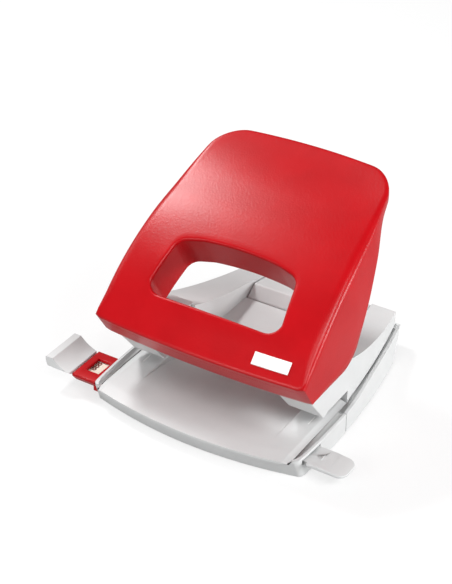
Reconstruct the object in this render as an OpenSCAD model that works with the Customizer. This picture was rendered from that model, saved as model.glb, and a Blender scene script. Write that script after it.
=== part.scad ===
// Two-hole office punch with a red lever shell, a paper guide and a chip tray.
// Millimetres. +Z is up, +Y points to the rear, and the origin lies on the ground,
// on the mid-plane, under the line of the two punches.

/* [Holes and paper] */
// Distance between the two punched holes
hole_pitch = 80; // [76:0.5:90]
// Diameter of the punches and their holes
hole_d = 5.5; // [5:0.1:6]
// Distance from the paper stop to the line of holes
hole_margin = 12; // [11:0.5:14]
// Height of the slot that the paper goes into
throat_h = 5.3; // [4:0.1:6]
// Height of the paper table above the ground
table_z = 9.7; // [9.2:0.1:11]
// How far the punches travel
punch_travel = 7.9; // [7:0.1:8.5]

/* [Base] */
// How far the base stands out past the handle on each side
base_step = 1.3; // [0.5:0.1:4]
// Distance of the foremost point of the base from the line of holes
base_front = 40; // [38:0.5:50]
// How far the front edge bows forward
front_bow = 6.5; // [2:0.5:10]
// Radius of the bowed sides of the base
side_r = 310; // [250:10:600]
// Thickness of the moulded walls of the base
base_wall = 2; // [1.6:0.1:2.6]
// Thickness of the paper table
table_t = 1.1; // [0.9:0.05:1.4]
// Width of the rim beside the paper table
rim_w = 4.2; // [3.6:0.1:5]
// Thickness of the rubber feet
foot_h = 0.8; // [0.6:0.1:1.2]
// Half width of the scooped recess in the table
scoop_half = 33; // [28:0.5:33.5]
// Depth of the scooped recess at its rear end
scoop_depth = 4.7; // [3:0.1:4.9]
// Thickness of the deck that carries the upper body
deck_t = 1.6; // [1.2:0.1:2]

/* [Upper body] */
// Width of a punch tower outside its punch
tower_side = 5.8; // [5.6:0.1:7]
// Width of a punch tower inside its punch
tower_inner = 10; // [9.5:0.1:11]
// Height of the towers above the ground
tower_z = 30; // [28:0.25:30.2]
// Depth of the body behind the line of holes
body_rear = 72; // [68:0.5:80]
// Height of the cheeks at the rear
cheek_end_z = 16.25; // [13.5:0.25:17]
// Half width of the well between the cheeks
well_half = 28; // [26:0.5:29]

/* [Handle] */
// Thickness of the handle's shell
handle_wall = 2.4; // [2:0.1:2.8]
// Distance of the handle's front lip from the line of holes
lip_front = 30.2; // [30:0.1:32]
// Height of the front lip
lip_z = 42; // [41.5:0.1:43]
// Steepness of the handle's face above the lip
face_front_a = 45; // [44:0.5:48]
// Steepness of the handle's face at the grip end
face_grip_a = 21; // [19:0.5:28]
// Radius of the bend between the two
face_bend_r = 130; // [115:1:150]
// Distance of the grip end from the line of holes
grip_reach = 60.5; // [56:0.1:64]
// Rounding of the handle's long edges
edge_r = 4.5; // [3:0.25:6]
// How far the handle's face bows up across its width
face_crown = 1.6; // [0:0.1:3]
// How far the lip bows forward
lip_bow = 2.5; // [0:0.1:3]
// Radius at which the side panels bow in above the levers
side_bow_r = 180; // [150:1:240]
// Angle at which the handle narrows towards the grip, seen from above
side_taper_a = 2.0; // [1:0.1:4]
// Radius of the grip's corners, seen from above
grip_round = 17.5; // [12:0.5:22]
// How far the grip end bows out in the middle
grip_bow = 4.5; // [0:0.1:6]
// Height of the side panels' lower edge
panel_z = 31; // [30.5:0.1:31.5]
// Half width of the grip window at its lower edge
window_half = 30.3; // [26:0.1:30.5]
// Height of the grip window across the face
window_h = 28.4; // [23:0.1:29]
// Depth of the collar round the grip window
window_depth = 18; // [12:0.5:19]

/* [Lever] */
// Distance of the pivot axle in front of the line of holes
pivot_front = 19; // [18.8:0.05:19.2]
// Height of the pivot axle
pivot_z = 40; // [39.8:0.05:40.3]
// Diameter of the pivot axle
axle_d = 6; // [5:0.1:6.4]
// Thickness of the steel lever plates
lever_t = 1.5; // [1.2:0.1:1.6]

/* [Paper guide] */
// Width of the guide rail
rail_w = 11.4; // [9.5:0.1:11.8]
// Thickness of the guide rail
rail_t = 1.6; // [1.2:0.1:1.8]
// Distance of the stop's face from the mid-plane, as stored
stop_reach = 68.5; // [66:0.5:80]
// Height of the stop's top edge
stop_z = 14.6; // [13:0.1:18]
// Length of the thumb tab that stands out of the base
tab_out = 17; // [12:0.5:25]
// Width of the thumb tab
tab_w = 12.3; // [11.6:0.1:13.6]

/* [Springs] */
// Diameter of the spring wire
wire_d = 0.8; // [0.6:0.05:0.9]
// Number of turns of a return spring
spring_turns = 6; // [4:0.5:7]

/* [Hidden] */
$fn = 64;

// Clearances
run_gap = 0.05;
seat_gap = 0.02;
part_gap = 0.4;
cut = 1;

// Colours
red = "#c9151f";
light_grey = "#c9cacb";
steel = "#b9bcc0";
spring_steel = "#9a9da1";
rubber = "#3b3c3e";
cream = "#e9e2d2";
white = "#f5f5f3";

// Widths, worked outwards from the punches
pin_x = hole_pitch / 2;
pin_r = hole_d / 2;
tower_out = pin_x + tower_side;
tower_in = pin_x - tower_inner;
panel_gap = 0.5;
handle_half = tower_out + panel_gap + handle_wall;
base_half = handle_half + base_step;
table_half = base_half - rim_w;

// Heights of the base
table_low = table_z - table_t;
deck_z = table_z + 0.5;
deck_low = deck_z - deck_t;
ledge_low = table_low - 3;
ledge_front = -14;
deck_front = hole_margin + 0.2;
riser_t = 1.6;
riser_low = foot_h + 3.2;

// Plan of the base: bowed sides about the widest place, and the seam before the tray
side_mid = -4;
seam_y = 4;
seam_gap = 0.5;
front_corner_y = front_bow - base_front;
front_lean = 2.8;
rim_front = front_corner_y + 0.5;
rim_r = 2;
rim_top = table_z + 0.1;
lip_w = 1.2;
groove_z = rim_top - 0.5;
skirt_low = 0.3;

// Paper guide
rail_top = table_low - 0.9;
rail_low = rail_top - rail_t;
rail_y = -22.6;
rail_front = rail_y - rail_w / 2;
rail_back = rail_y + rail_w / 2;
tab_y1 = rail_back;
tab_y0 = tab_y1 - tab_w;
sleeve_y0 = -32;
sleeve_y1 = -13.2;
sleeve_x0 = -(base_half + 0.1);
stop_gap = 8.2;
sleeve_x1 = -stop_reach + stop_gap;
sleeve_len = sleeve_x0 - sleeve_x1;
sleeve_top = table_z - 0.2;
rail_left = sleeve_x1 - 1.8;
scale_t = 0.2;
slot_side = 2.4;
leaf_half = 6;
leaf_low = rail_low - 1.1;
rail_rest = 0.3;

// Front feet, on seats across the ribs under the rail
foot_x = 30;
foot_half = 3.4;
foot_y0 = rail_front - 1.4;
foot_y1 = foot_y0 + 4.7;

// Mechanism
axle_r = axle_d / 2;
pivot_y = -pivot_front;
press_r = 2;
press_z = pivot_z + punch_travel / 2;
lever_len = norm([pivot_front, punch_travel / 2]);
lever_a = asin(punch_travel / 2 / lever_len);
ear_r = axle_r + 2.2;
ear_half = 3.2;
clip_t = 0.7;
lever_in = pin_x - 6.4;
lever_out = pin_x + 4.15;
throat_z = table_z + throat_h;
punch_tip = throat_z + 0.6;
punch_top = press_z - press_r - 0.3;
bush_top = throat_z + 9;
bush_r = pin_r + 2.25;
flange_r = pin_r + 2.75;
flange_t = 1;
collar_z = punch_top - 2.8;
collar_t = 1.2;
collar_r = pin_r + 1.05;
spring_r = pin_r + 0.3 + wire_d / 2;

// Handle profile: steep face, bend, straight grip
lip_y = -lip_front;
face_run = 9;
bend_y0 = lip_y + face_run * cos(face_front_a);
bend_z0 = lip_z + face_run * sin(face_front_a);
bend_cy = bend_y0 + face_bend_r * sin(face_front_a);
bend_cz = bend_z0 - face_bend_r * cos(face_front_a);
bend_y1 = bend_cy - face_bend_r * sin(face_grip_a);
bend_z1 = bend_cz + face_bend_r * cos(face_grip_a);
lip_foot_y = lip_y + 7.5;
lip_rake = (lip_z - panel_z) / (lip_foot_y - lip_y);
lean_z = pivot_z + 5;
grip_rim = 4;
panel_rear_y = 9.2;
panel_rear_a = 59.3;
panel_rear_r = 14;

// Tray
tray_top = rim_top;
tray_floor = 1.4;
tray_blend = 30;
tray_gap = 0.6;
tray_wall = 1.8;
tray_foot_y = body_rear - 15;
tray_rear_y = body_rear + 1;
hinge_y = -8;
hinge_z = foot_h + 2.1;
hinge_r = 1.25;
knuckle_r = 2.1;
tongue_half = 7.5;
tongue_t = 2.8;
tongue_gap = 0.8;
lobe_out = table_half - 1.3;
tray_open = table_half + part_gap;

// Cheeks
cheek_top_r = 200;
cheek_slope = 0.08;
cheek_side_r = 417;
cheek_wall = 2.2;
tail_len = 19;
well_taper = 3;
screw_r = 1.5;
boss_r = 3.2;
body_screw_spots = [[pin_x - 4, 22], [pin_x - 8, 50]];

function side_half(y) = base_half - pow(y - side_mid, 2) / (2 * side_r);
function cheek_half(y) = let (back = max(0, y - hole_margin))
    tower_out - cheek_slope * back - back * back / (2 * cheek_side_r);
function arc_points(c, r, a0, a1, n) = [for (a = span(a0, a1, n)) c + r * [cos(a), sin(a)]];
function mirrored(points) = concat(points,
    [for (i = [len(points) - 1:-1:0]) [-points[i].x, points[i].y]]);
function span(a, b, n) = [for (i = [0:n]) a + (b - a) * i / n];

// Draws its children for the right side (s = 1) or mirrored for the left (s = -1)
module side(s) {
    mirror([s < 0 ? 1 : 0, 0, 0]) children();
}

module both() {
    for (s = [-1, 1]) side(s) children();
}

// A (y, z) outline drawn out along X from x0 to x1
module slab_x(x0, x1, points) {
    translate([x0, 0, 0]) rotate([90, 0, 90]) linear_extrude(x1 - x0) polygon(points);
}

// An (x, z) outline drawn out along Y from y0 to y1
module slab_y(y0, y1, points) {
    translate([0, y1, 0]) rotate([90, 0, 0]) linear_extrude(y1 - y0) polygon(points);
}

// An (x, y) outline drawn out along Z from z0 to z1
module slab_z(z0, z1, points) {
    translate([0, 0, z0]) linear_extrude(z1 - z0) polygon(points);
}

module block(x0, x1, y0, y1, z0, z1) {
    translate([x0, y0, z0]) cube([x1 - x0, y1 - y0, z1 - z0]);
}

module rod_x(x0, x1, y, z, r) {
    translate([x0, y, z]) rotate([0, 90, 0]) cylinder(h = x1 - x0, r = r);
}

module rod_z(x, y, z0, z1, r) {
    translate([x, y, z0]) cylinder(h = z1 - z0, r = r);
}

// Plan of the front base, drawn in from its edge by an inset, with its front set back further
function front_points(inset, y_end, set_back = 0) = mirrored(concat(
    [for (x = span(0, side_half(front_corner_y) - inset, 16))
        [x, -base_front + inset + set_back + front_bow * pow(x / side_half(front_corner_y), 2)]],
    [for (y = span(front_corner_y + inset + set_back + 1, y_end, 8)) [side_half(y) - inset, y]]));

// Solid within the skirt's leaning front and upright sides
module skirt(inset, y_end, z0, z1) {
    hull() {
        slab_z(z0, foot_h + 0.1, front_points(inset, y_end, front_lean));
        slab_z(table_low - 0.1, z1, front_points(inset, y_end));
    }
}

// Plan of the rim beside the table, with a round corner at its front
function rim_points(set_back) = let (front = rim_front + set_back) concat(
    arc_points([side_half(front) - rim_r, front + rim_r], rim_r, -90, 0, 5),
    [for (y = span(front + rim_r + 1, seam_y, 8)) [side_half(y), y]],
    [[table_half + part_gap, seam_y], [table_half + part_gap, front]]);

// Rim that leans in at its front as the skirt does, with a groove along the table
module side_rim() {
    groove_front = rim_front + 2 * rim_r;
    difference() {
        hull() {
            slab_z(skirt_low, foot_h + 0.1, rim_points(front_lean));
            slab_z(table_low - 0.1, rim_top, rim_points(0));
        }
        slab_z(groove_z, rim_top + cut, concat([[table_half, seam_y + cut], [table_half, rim_front - cut]],
            [for (y = span(groove_front, seam_y + cut, 8)) [side_half(y) - lip_w, y]]));
    }
}

module front_base() {
    rib_y = -13.5;
    rib_t = 1.5;
    rib_drop = 2.2;
    skirt_inset = 1;
    lug_half = 3.2;
    deck_inset = 1;
    rail_rib_out = 2;
    foot_seat_t = 1.2;
    color(light_grey) difference() {
        union() {
            difference() {
                skirt(skirt_inset, seam_y, skirt_low, table_low);
                skirt(skirt_inset + base_wall, seam_y + cut, skirt_low - cut, table_low + cut);
            }
            both() side_rim();
            both() block(ledge_x0, table_half, ledge_front, deck_front + riser_t, ledge_low, table_low);
            both() block(table_half - cut, base_half - base_wall, ledge_front, seam_y, ledge_low, table_low);
            block(-table_half, table_half, rib_y, rib_y + rib_t, foot_h, table_low - rib_drop);
            both() block(table_half - cut, base_half - base_wall, hinge_y - lug_half, hinge_y + lug_half,
                foot_h, ledge_low + cut);
            block(-tongue_half, tongue_half, rib_y, seam_y + 1, foot_h, foot_h + tongue_t);
            rod_x(-tongue_half, tongue_half, hinge_y, hinge_z, knuckle_r);
            slab_z(deck_low, deck_z, mirrored([for (y = span(deck_front, body_rear - tail_len, 8))
                [cheek_half(y) - deck_inset, y]]));
            block(-table_half, table_half, deck_front, deck_front + riser_t, riser_low, deck_z);
            both() block(foot_x - rib_t / 2, foot_x + rib_t / 2, rail_front - rail_rib_out, rib_y + cut,
                foot_h, rail_low - rail_rest);
            both() block(foot_x - foot_half - 0.6, foot_x + foot_half + 0.6, foot_y0 - 0.6, foot_y1 + 0.6,
                foot_h, foot_h + foot_seat_t);
            block(-leaf_half, leaf_half, rail_y - 4, rib_y + cut, foot_h, leaf_low);
        }
        block(table_half - 2, base_half + cut, tab_y0 - part_gap, tab_y1 + part_gap,
            rail_low - part_gap, table_low);
        block(-base_half - cut, -table_half + 2, rail_front - slot_side, rail_back + slot_side,
            rail_low - slot_side, table_low);
        both() die_pocket();
        both() rod_x(tongue_half - 5, table_half + 1.2, hinge_y, hinge_z, hinge_r + seat_gap);
        both() for (p = body_screw_spots) rod_z(p.x, p.y, deck_low - cut, deck_z + cut, screw_r + seat_gap);
    }
}

ledge_x0 = scoop_half + table_t + part_gap;
die_rim = 1.5;
die_x0 = min(ledge_x0, pin_x - pin_r - die_rim);
die_x1 = pin_x + 5.5;
die_half_l = 7;
die_t = 2;
chip_way = 1.3;

// Seat of a die plate in the ledge, and the way down for the chips
module die_pocket() {
    block(die_x0, die_x1, -die_half_l, die_half_l, table_low - die_t, table_low + cut);
    rod_z(pin_x, 0, ledge_low - cut, table_low, pin_r + chip_way);
}

module die_plate(s) {
    color(steel) side(s) difference() {
        block(die_x0, die_x1, -die_half_l, die_half_l, table_low - die_t, table_low);
        rod_z(pin_x, 0, table_low - die_t - cut, table_low + cut, pin_r + run_gap);
    }
}

// Plan of the paper table: straight sides, bowed front drawn back by an inset
function table_points(inset) = mirrored(concat(
    [for (x = span(0, table_half, 16)) [x, -base_front + inset + front_bow * pow(x / base_half, 2)]],
    [[table_half, hole_margin - 0.2]]));

module paper_table() {
    scoop_y0 = -26;
    scoop_y1 = 6;
    scoop_len = scoop_y1 - scoop_y0;
    scoop_out = scoop_half + table_t;
    scoop_r = (scoop_len * scoop_len + scoop_depth * scoop_depth) / (2 * scoop_depth);
    floor_z = table_z - scoop_depth;
    rear = hole_margin - 0.2;
    edge_t = 0.4;
    front_slope = 6;
    edge_run = 2.6;
    edge_fall = 0.8;
    mark_half = 0.3;
    mark_front = -9.5;
    color(light_grey) difference() {
        union() {
            difference() {
                hull() {
                    slab_z(table_low, table_low + edge_t, table_points(0));
                    slab_z(table_low, table_z, table_points(front_slope));
                }
                block(-scoop_half, scoop_half, scoop_y0, rear + cut, table_low - cut, table_z + cut);
            }
            difference() {
                block(-scoop_out, scoop_out, scoop_y0, scoop_y1, floor_z - table_t, table_z);
                block(-scoop_half, scoop_half, scoop_y0 - cut, scoop_y1 + cut, floor_z - 2 * cut,
                    table_z + cut);
                rod_x(-base_half, base_half, scoop_y0, table_z - scoop_r, scoop_r - table_t);
            }
            intersection() {
                block(-scoop_out, scoop_out, scoop_y0, scoop_y1, floor_z - table_t, table_z);
                difference() {
                    rod_x(-base_half, base_half, scoop_y0, table_z - scoop_r, scoop_r);
                    rod_x(-base_half - cut, base_half + cut, scoop_y0, table_z - scoop_r,
                        scoop_r - table_t);
                }
            }
            difference() {
                block(-scoop_out, scoop_out, scoop_y1, rear, floor_z - table_t, table_z);
                block(-scoop_half, scoop_half, scoop_y1 - cut, rear + cut, floor_z, table_z + cut);
            }
        }
        both() rod_z(pin_x, 0, table_low - cut, table_z + cut, pin_r + 0.2);
        both() block(die_x0 - part_gap / 2, die_x1, -die_half_l - part_gap, die_half_l + part_gap,
            table_low - die_t - part_gap, table_low);
        both() rod_z(pin_x, 0, floor_z - table_t - cut, table_low - die_t, pin_r + chip_way);
        both() slab_y(-base_front - cut, rear + cut, [[table_half - edge_run, table_z],
            [table_half - edge_run, table_z + 1], [table_half + edge_run, table_z + 1],
            [table_half + edge_run, table_z - 2 * edge_fall]]);
        both() block(pin_x - mark_half, pin_x + mark_half, mark_front, -pin_r - 2 * mark_half,
            table_z - mark_half, table_z + cut);
    }
}

// Side outline of a tower above the throat and of the cheek behind it
function cheek_points(inset) = let (
        a = [hole_margin + 0.5, tower_z - inset],
        b = [body_rear - inset, cheek_end_z - inset],
        half = norm(b - a) / 2,
        turn = atan2(b.y - a.y, b.x - a.x),
        dip = cheek_top_r - sqrt(cheek_top_r * cheek_top_r - half * half))
    concat([[hole_margin, deck_z], a],
        [for (i = [1:11]) let (u = i / 12)
            a + (b - a) * u - 4 * dip * u * (1 - u) * [-sin(turn), cos(turn)]],
        [b, [body_rear - inset, deck_z]]);

function cheek_plan(inset, gap) = concat(
    [for (y = span(hole_margin + inset, body_rear - inset, 12)) [cheek_half(y) - inset + gap, y]],
    [[well_half - well_taper + inset - gap, body_rear - inset],
        [well_half + inset - gap, body_rear - tail_len],
        [well_half + inset - gap, hole_margin + inset]]);

module tower() {
    front_y = pivot_y + 3;
    foot_y0 = -8;
    foot_y1 = -5.2;
    foot_drop = 0.8;
    ear_foot_y = -6;
    difference() {
        union() {
            slab_x(tower_in, tower_out, [[foot_y0, throat_z - foot_drop], [foot_y1, throat_z - foot_drop],
                [foot_y1 + foot_drop, throat_z], [hole_margin + 2, throat_z], [hole_margin + 2, tower_z],
                [front_y, tower_z], [front_y - 2, tower_z - 3]]);
            slab_x(pin_x - ear_half, pin_x + ear_half, [[front_y + 0.8, tower_z - cut],
                [ear_foot_y, tower_z - cut], [ear_foot_y - 1, tower_z], [pivot_y + ear_r, pivot_z],
                [pivot_y - ear_r * 0.8, pivot_z - ear_r * 0.55]]);
            rod_x(pin_x - ear_half, pin_x + ear_half, pivot_y, pivot_z, ear_r);
        }
        rod_x(0, base_half, pivot_y, pivot_z, axle_r + seat_gap);
        rod_z(pin_x, 0, throat_z - cut, tower_z, bush_r + seat_gap);
        rod_z(pin_x, 0, bush_top - flange_t, tower_z + cut, flange_r + seat_gap);
    }
}

module cheek() {
    difference() {
        intersection() {
            slab_x(0, base_half, cheek_points(0));
            slab_z(deck_z, tower_z + cut, cheek_plan(0, 0));
        }
        difference() {
            intersection() {
                slab_x(0, base_half, concat(cheek_points(cheek_wall),
                    [[body_rear - cheek_wall, deck_z - cut], [hole_margin, deck_z - cut]]));
                slab_z(deck_z - cut, tower_z, cheek_plan(cheek_wall, 0));
            }
            for (p = body_screw_spots) rod_z(p.x, p.y, deck_z, tower_z, boss_r);
        }
        for (p = body_screw_spots) rod_z(p.x, p.y, deck_z - cut, deck_z + 5, screw_r + seat_gap);
    }
}

// Lower edge of a cheek's outer wall, which hangs down beside the deck
module cheek_skirt() {
    skirt_t = 0.55;
    overlap = 0.5;
    intersection() {
        difference() {
            slab_z(groove_z + part_gap, deck_z + overlap, cheek_plan(0, 0));
            slab_z(groove_z, deck_z + cut, cheek_plan(skirt_t, 0));
        }
        block(well_half + tail_len / 4, base_half, deck_front + riser_t + part_gap, body_rear, groove_z,
            deck_z + cut);
    }
}

module upper_body() {
    color(light_grey) union() {
        both() tower();
        both() cheek();
        both() cheek_skirt();
        block(-well_half - 2, well_half + 2, hole_margin, body_rear - tail_len, deck_z, deck_z + 1.2);
    }
}

module bush(s) {
    color(steel) side(s) difference() {
        union() {
            rod_z(pin_x, 0, throat_z + 0.2, bush_top, bush_r);
            rod_z(pin_x, 0, bush_top - flange_t, bush_top, flange_r);
        }
        rod_z(pin_x, 0, throat_z - cut, bush_top + cut, pin_r + run_gap);
    }
}

// Return spring: one wire wound round its punch between the bush and the collar
spring_low = bush_top + wire_d / 2 + seat_gap;
spring_high = collar_z - wire_d / 2 - seat_gap;
rings_a_turn = 12;
spring_rings = round(spring_turns * rings_a_turn);
wire_sides = 6;
function spring_centre(i) = let (a = 360 * i / rings_a_turn)
    [spring_r * cos(a), spring_r * sin(a), spring_low + (spring_high - spring_low) * i / spring_rings];
function wire_ring(i) = let (a = 360 * i / rings_a_turn)
    [for (k = [0:wire_sides - 1]) let (b = 360 * k / wire_sides)
        spring_centre(i) + wire_d / 2 * [cos(b) * cos(a), cos(b) * sin(a), sin(b)]];
function least_gap() = min([for (i = [0:rings_a_turn]) for (j = [i + 9:spring_rings])
    norm(spring_centre(i) - spring_centre(j))]) - wire_d;
echo(least_spring_gap = least_gap());

// Skin of a tube from equal rings of points, all of it in triangles
function skin_faces(rings, sides) = concat(
    [for (i = [0:rings - 2]) for (k = [0:sides - 1]) let (n = (k + 1) % sides)
        [i * sides + k, (i + 1) * sides + n, i * sides + n]],
    [for (i = [0:rings - 2]) for (k = [0:sides - 1]) let (n = (k + 1) % sides)
        [i * sides + k, (i + 1) * sides + k, (i + 1) * sides + n]],
    [for (k = [1:sides - 2]) [0, k, k + 1]],
    [for (k = [1:sides - 2]) let (e = (rings - 1) * sides) [e, e + k + 1, e + k]]);

module return_spring(s) {
    points = [for (i = [0:spring_rings]) each wire_ring(i)];
    color(spring_steel) translate([s * pin_x, 0, 0])
        polyhedron(points, skin_faces(spring_rings + 1, wire_sides), convexity = 8);
}

module punch(s) {
    tip_hollow = 7;
    color(steel) side(s) difference() {
        rod_z(pin_x, 0, punch_tip, punch_top, pin_r);
        rod_x(pin_x - 10, pin_x + 10, 0, punch_tip - tip_hollow + 1.1, tip_hollow);
        difference() {
            rod_z(pin_x, 0, collar_z, collar_z + collar_t, pin_r + cut);
            rod_z(pin_x, 0, collar_z - cut, collar_z + collar_t + cut, pin_r - 0.5);
        }
    }
}

module collar(s) {
    color(steel) side(s) difference() {
        rod_z(pin_x, 0, collar_z, collar_z + collar_t, collar_r);
        rod_z(pin_x, 0, collar_z - cut, collar_z + collar_t + cut, pin_r - 0.5 + seat_gap);
        block(pin_x - 1.6, pin_x + 1.6, 0, collar_r + cut, collar_z - cut, collar_z + collar_t + cut);
    }
}

module pivot_axle() {
    axle_half = handle_half - handle_wall - 0.6;
    groove_r = axle_r - 0.6;
    color(steel) difference() {
        rod_x(-axle_half, axle_half, pivot_y, pivot_z, axle_r);
        both() difference() {
            rod_x(pin_x + ear_half, pin_x + ear_half + clip_t, pivot_y, pivot_z, axle_r + cut);
            rod_x(pin_x, pin_x + ear_half + clip_t + cut, pivot_y, pivot_z, groove_r);
        }
    }
}

module axle_clips() {
    groove_r = axle_r - 0.6;
    color(spring_steel) both() difference() {
        rod_x(pin_x + ear_half, pin_x + ear_half + clip_t - 0.1, pivot_y, pivot_z, axle_r + 1.4);
        rod_x(pin_x, pin_x + ear_half + clip_t + cut, pivot_y, pivot_z, groove_r + seat_gap);
        block(pin_x, pin_x + ear_half + 2, pivot_y - groove_r * 0.8, pivot_y + groove_r * 0.8,
            pivot_z - axle_r - 2, pivot_z);
    }
}

// Profile of the handle along its length
function face_z(y) = y < bend_y0 ? lip_z + (y - lip_y) * tan(face_front_a)
    : y < bend_y1 ? bend_cz + sqrt(face_bend_r * face_bend_r - pow(y - bend_cy, 2))
    : bend_z1 + (y - bend_y1) * tan(face_grip_a);
panel_t = panel_rear_r * tan(panel_rear_a / 2);
function panel_low(y) = y < panel_rear_y - panel_t ? panel_z
    : y < panel_rear_y + panel_t * cos(panel_rear_a)
    ? panel_z + panel_rear_r - sqrt(panel_rear_r * panel_rear_r - pow(y - panel_rear_y + panel_t, 2))
    : panel_z + (y - panel_rear_y) * tan(panel_rear_a);
function lip_low(y) = lip_z - (y - lip_y) * lip_rake;
function grip_t(y, inset) = min(1, max(0, (y - grip_reach + grip_round) / (grip_round - inset)));
function plan_half(z, y, inset) = handle_half - inset - pow(max(0, z - lean_z), 2) / (2 * side_bow_r)
    - max(0, y - hole_margin) * tan(side_taper_a)
    - (grip_round - inset) * (1 - sqrt(1 - pow(grip_t(y, inset), 2)));
function fade(y, y0, y1) = let (u = min(1, max(0, (y - y0) / (y1 - y0)))) u * u * (3 - 2 * u);

// One ring round the handle at a place along it, with half width v at the foot zb, half width w at the top zt
// and edge radius r
corner_steps = 4;
top_steps = 8;
ring_size = 2 * corner_steps + 2 * top_steps + 2;
function handle_ring(y, v, w, zt, zb, r) = let (
        crown = face_crown * fade(y, lip_y, lip_y + 25) * (1 - fade(y, grip_reach - 30, grip_reach)),
        bow = lip_bow * (1 - fade(y, lip_foot_y, lip_foot_y + 32)),
        rear = grip_bow * fade(y, grip_reach - 40, grip_reach),
        flat = concat(
            [for (i = [0:corner_steps - 1]) let (a = 180 - 90 * i / corner_steps)
                [-w + r + r * cos(a), zt - r + r * sin(a)]],
            [for (x = span(-w + r, w - r, top_steps)) [x, zt]],
            [for (i = [1:corner_steps]) let (a = 90 - 90 * i / corner_steps)
                [w - r + r * cos(a), zt - r + r * sin(a)]],
            [for (x = span(v, -v, top_steps)) [x, zb]]))
    [for (i = [0:len(flat) - 1]) let (
            p = flat[i],
            q = 1 - pow(p.x / max(v, w), 2),
            top = i < ring_size - top_steps - 1)
        [p.x, y - bow * q - rear * pow(p.x / handle_half, 2), p.y + (top ? crown * q : 0)]];

handle_steps = 36;
function handle_y(i, y0, y1) = y0 + (y1 - y0) * (1 - cos(180 * i / handle_steps)) / 2;
function outer_ring(y) = let (
        zt = face_z(y),
        zb = min(max(lip_low(y), panel_low(y)), zt - (y < 0 ? 1.4 : grip_rim)),
        r = min(edge_r, (zt - zb) * 0.45))
    handle_ring(y, plan_half(zb, y, 0), plan_half(zt - r, y, 0), zt, zb, r);
function inner_ring(y) = let (
        zt = face_z(y) - handle_wall * 1.3,
        zb = min(max(lip_low(y) + handle_wall * 1.75, panel_low(y) - 3), zt - 0.6),
        r = min(max(edge_r - handle_wall, 0.6), (zt - zb) * 0.45))
    handle_ring(y, plan_half(zb, y, handle_wall), plan_half(zt - r, y, handle_wall), zt, zb, r);

module handle_outside() {
    points = [for (i = [0:handle_steps]) each outer_ring(handle_y(i, lip_y, grip_reach))];
    polyhedron(points, skin_faces(handle_steps + 1, ring_size), convexity = 6);
}

module handle_inside() {
    y0 = lip_y + handle_wall * 1.6;
    y1 = grip_reach - handle_wall;
    points = [for (i = [0:handle_steps]) each inner_ring(handle_y(i, y0, y1))];
    polyhedron(points, skin_faces(handle_steps + 1, ring_size), convexity = 6);
}

// Grip window: straight lower edge, arched upper edge, drawn through square to the face
window_y = -7.96;
window_z = face_z(window_y) + face_crown / 2;
window_a = 30.9;
window_r = 6;
window_arch = 2.4;
function window_points(grow) = let (
        low = -window_h / 2 - grow,
        high = window_h / 2 - window_arch + grow,
        wide = window_half + grow,
        slim = window_half - 2.2 + grow,
        r = window_r + grow)
    mirrored(concat(
        arc_points([wide - r, low + r], r, -90, -5, 6),
        arc_points([slim - r, high - r], r, 5, 68, 5),
        [for (x = [0.66, 0.33]) [slim * x, high + window_arch * (1 - x * x) - 0.2]],
        [[0, high + window_arch]]));

module window_prism(grow, depth) {
    translate([0, window_y, window_z]) rotate([window_a, 0, 0])
        slab_z(-depth, 20, window_points(grow));
}

// Place of a lever: X as it is, Y from the axle to the press pin, Z square to them
module on_lever(s) {
    side(s) translate([0, pivot_y, pivot_z]) rotate([lever_a, 0, 0]) children();
}

lever_web_y = 11;
lever_web_top = 5;
lever_screw_r = 1.4;

module handle_shell() {
    color(red) difference() {
        union() {
            difference() {
                handle_outside();
                handle_inside();
            }
            intersection() {
                handle_outside();
                window_prism(2, window_depth);
            }
            intersection() {
                handle_outside();
                for (s = [-1, 1]) on_lever(s) rod_z(pin_x, lever_web_y, lever_web_top, 40, boss_r);
            }
        }
        window_prism(0, window_depth + cut);
        for (s = [-1, 1]) on_lever(s) rod_z(pin_x, lever_web_y, lever_web_top - cut, lever_web_top + 6,
            lever_screw_r + seat_gap);
    }
}

module lever(s) {
    eye_r = axle_r + 1.9;
    nose_r = press_r + 2.4;
    web_y0 = ear_r + 1.6;
    color(steel) on_lever(s) difference() {
        union() {
            for (x = [lever_in, lever_out]) {
                rod_x(x, x + lever_t, 0, 0, eye_r);
                rod_x(x, x + lever_t, lever_len, 0, nose_r);
                slab_x(x, x + lever_t, [[0, -eye_r], [lever_len, -nose_r], [lever_len, nose_r],
                    [0, eye_r]]);
                block(x, x + lever_t, web_y0, lever_len, 0, lever_web_top);
            }
            block(lever_in, lever_out + lever_t, web_y0, lever_len, lever_web_top - lever_t, lever_web_top);
        }
        rod_x(0, base_half, 0, 0, axle_r + run_gap);
        rod_x(0, base_half, lever_len, 0, press_r + seat_gap);
        rod_z(pin_x, lever_web_y, 0, lever_web_top + cut, lever_screw_r + seat_gap);
    }
}

module press_pins() {
    color(steel) for (s = [-1, 1]) on_lever(s) rod_x(lever_in, lever_out + lever_t, lever_len, 0, press_r);
}

// Pan-head screw standing on its head along +Z, with a cross recess
module screw(length, r) {
    color(steel) difference() {
        union() {
            cylinder(h = length, r = r);
            translate([0, 0, -1.2]) cylinder(h = 1.2, r = r * 1.8);
        }
        for (a = [0, 90]) rotate(a) block(-r * 1.1, r * 1.1, -0.3, 0.3, -1.2 - cut, -0.5);
    }
}

module lever_screws() {
    for (s = [-1, 1]) on_lever(s) translate([pin_x, lever_web_y, lever_web_top - lever_t])
        screw(lever_t + 5.5, lever_screw_r);
}

module body_screws() {
    both() for (p = body_screw_spots) translate([p.x, p.y, deck_low]) screw(deck_t + 4.5, screw_r);
}

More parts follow.
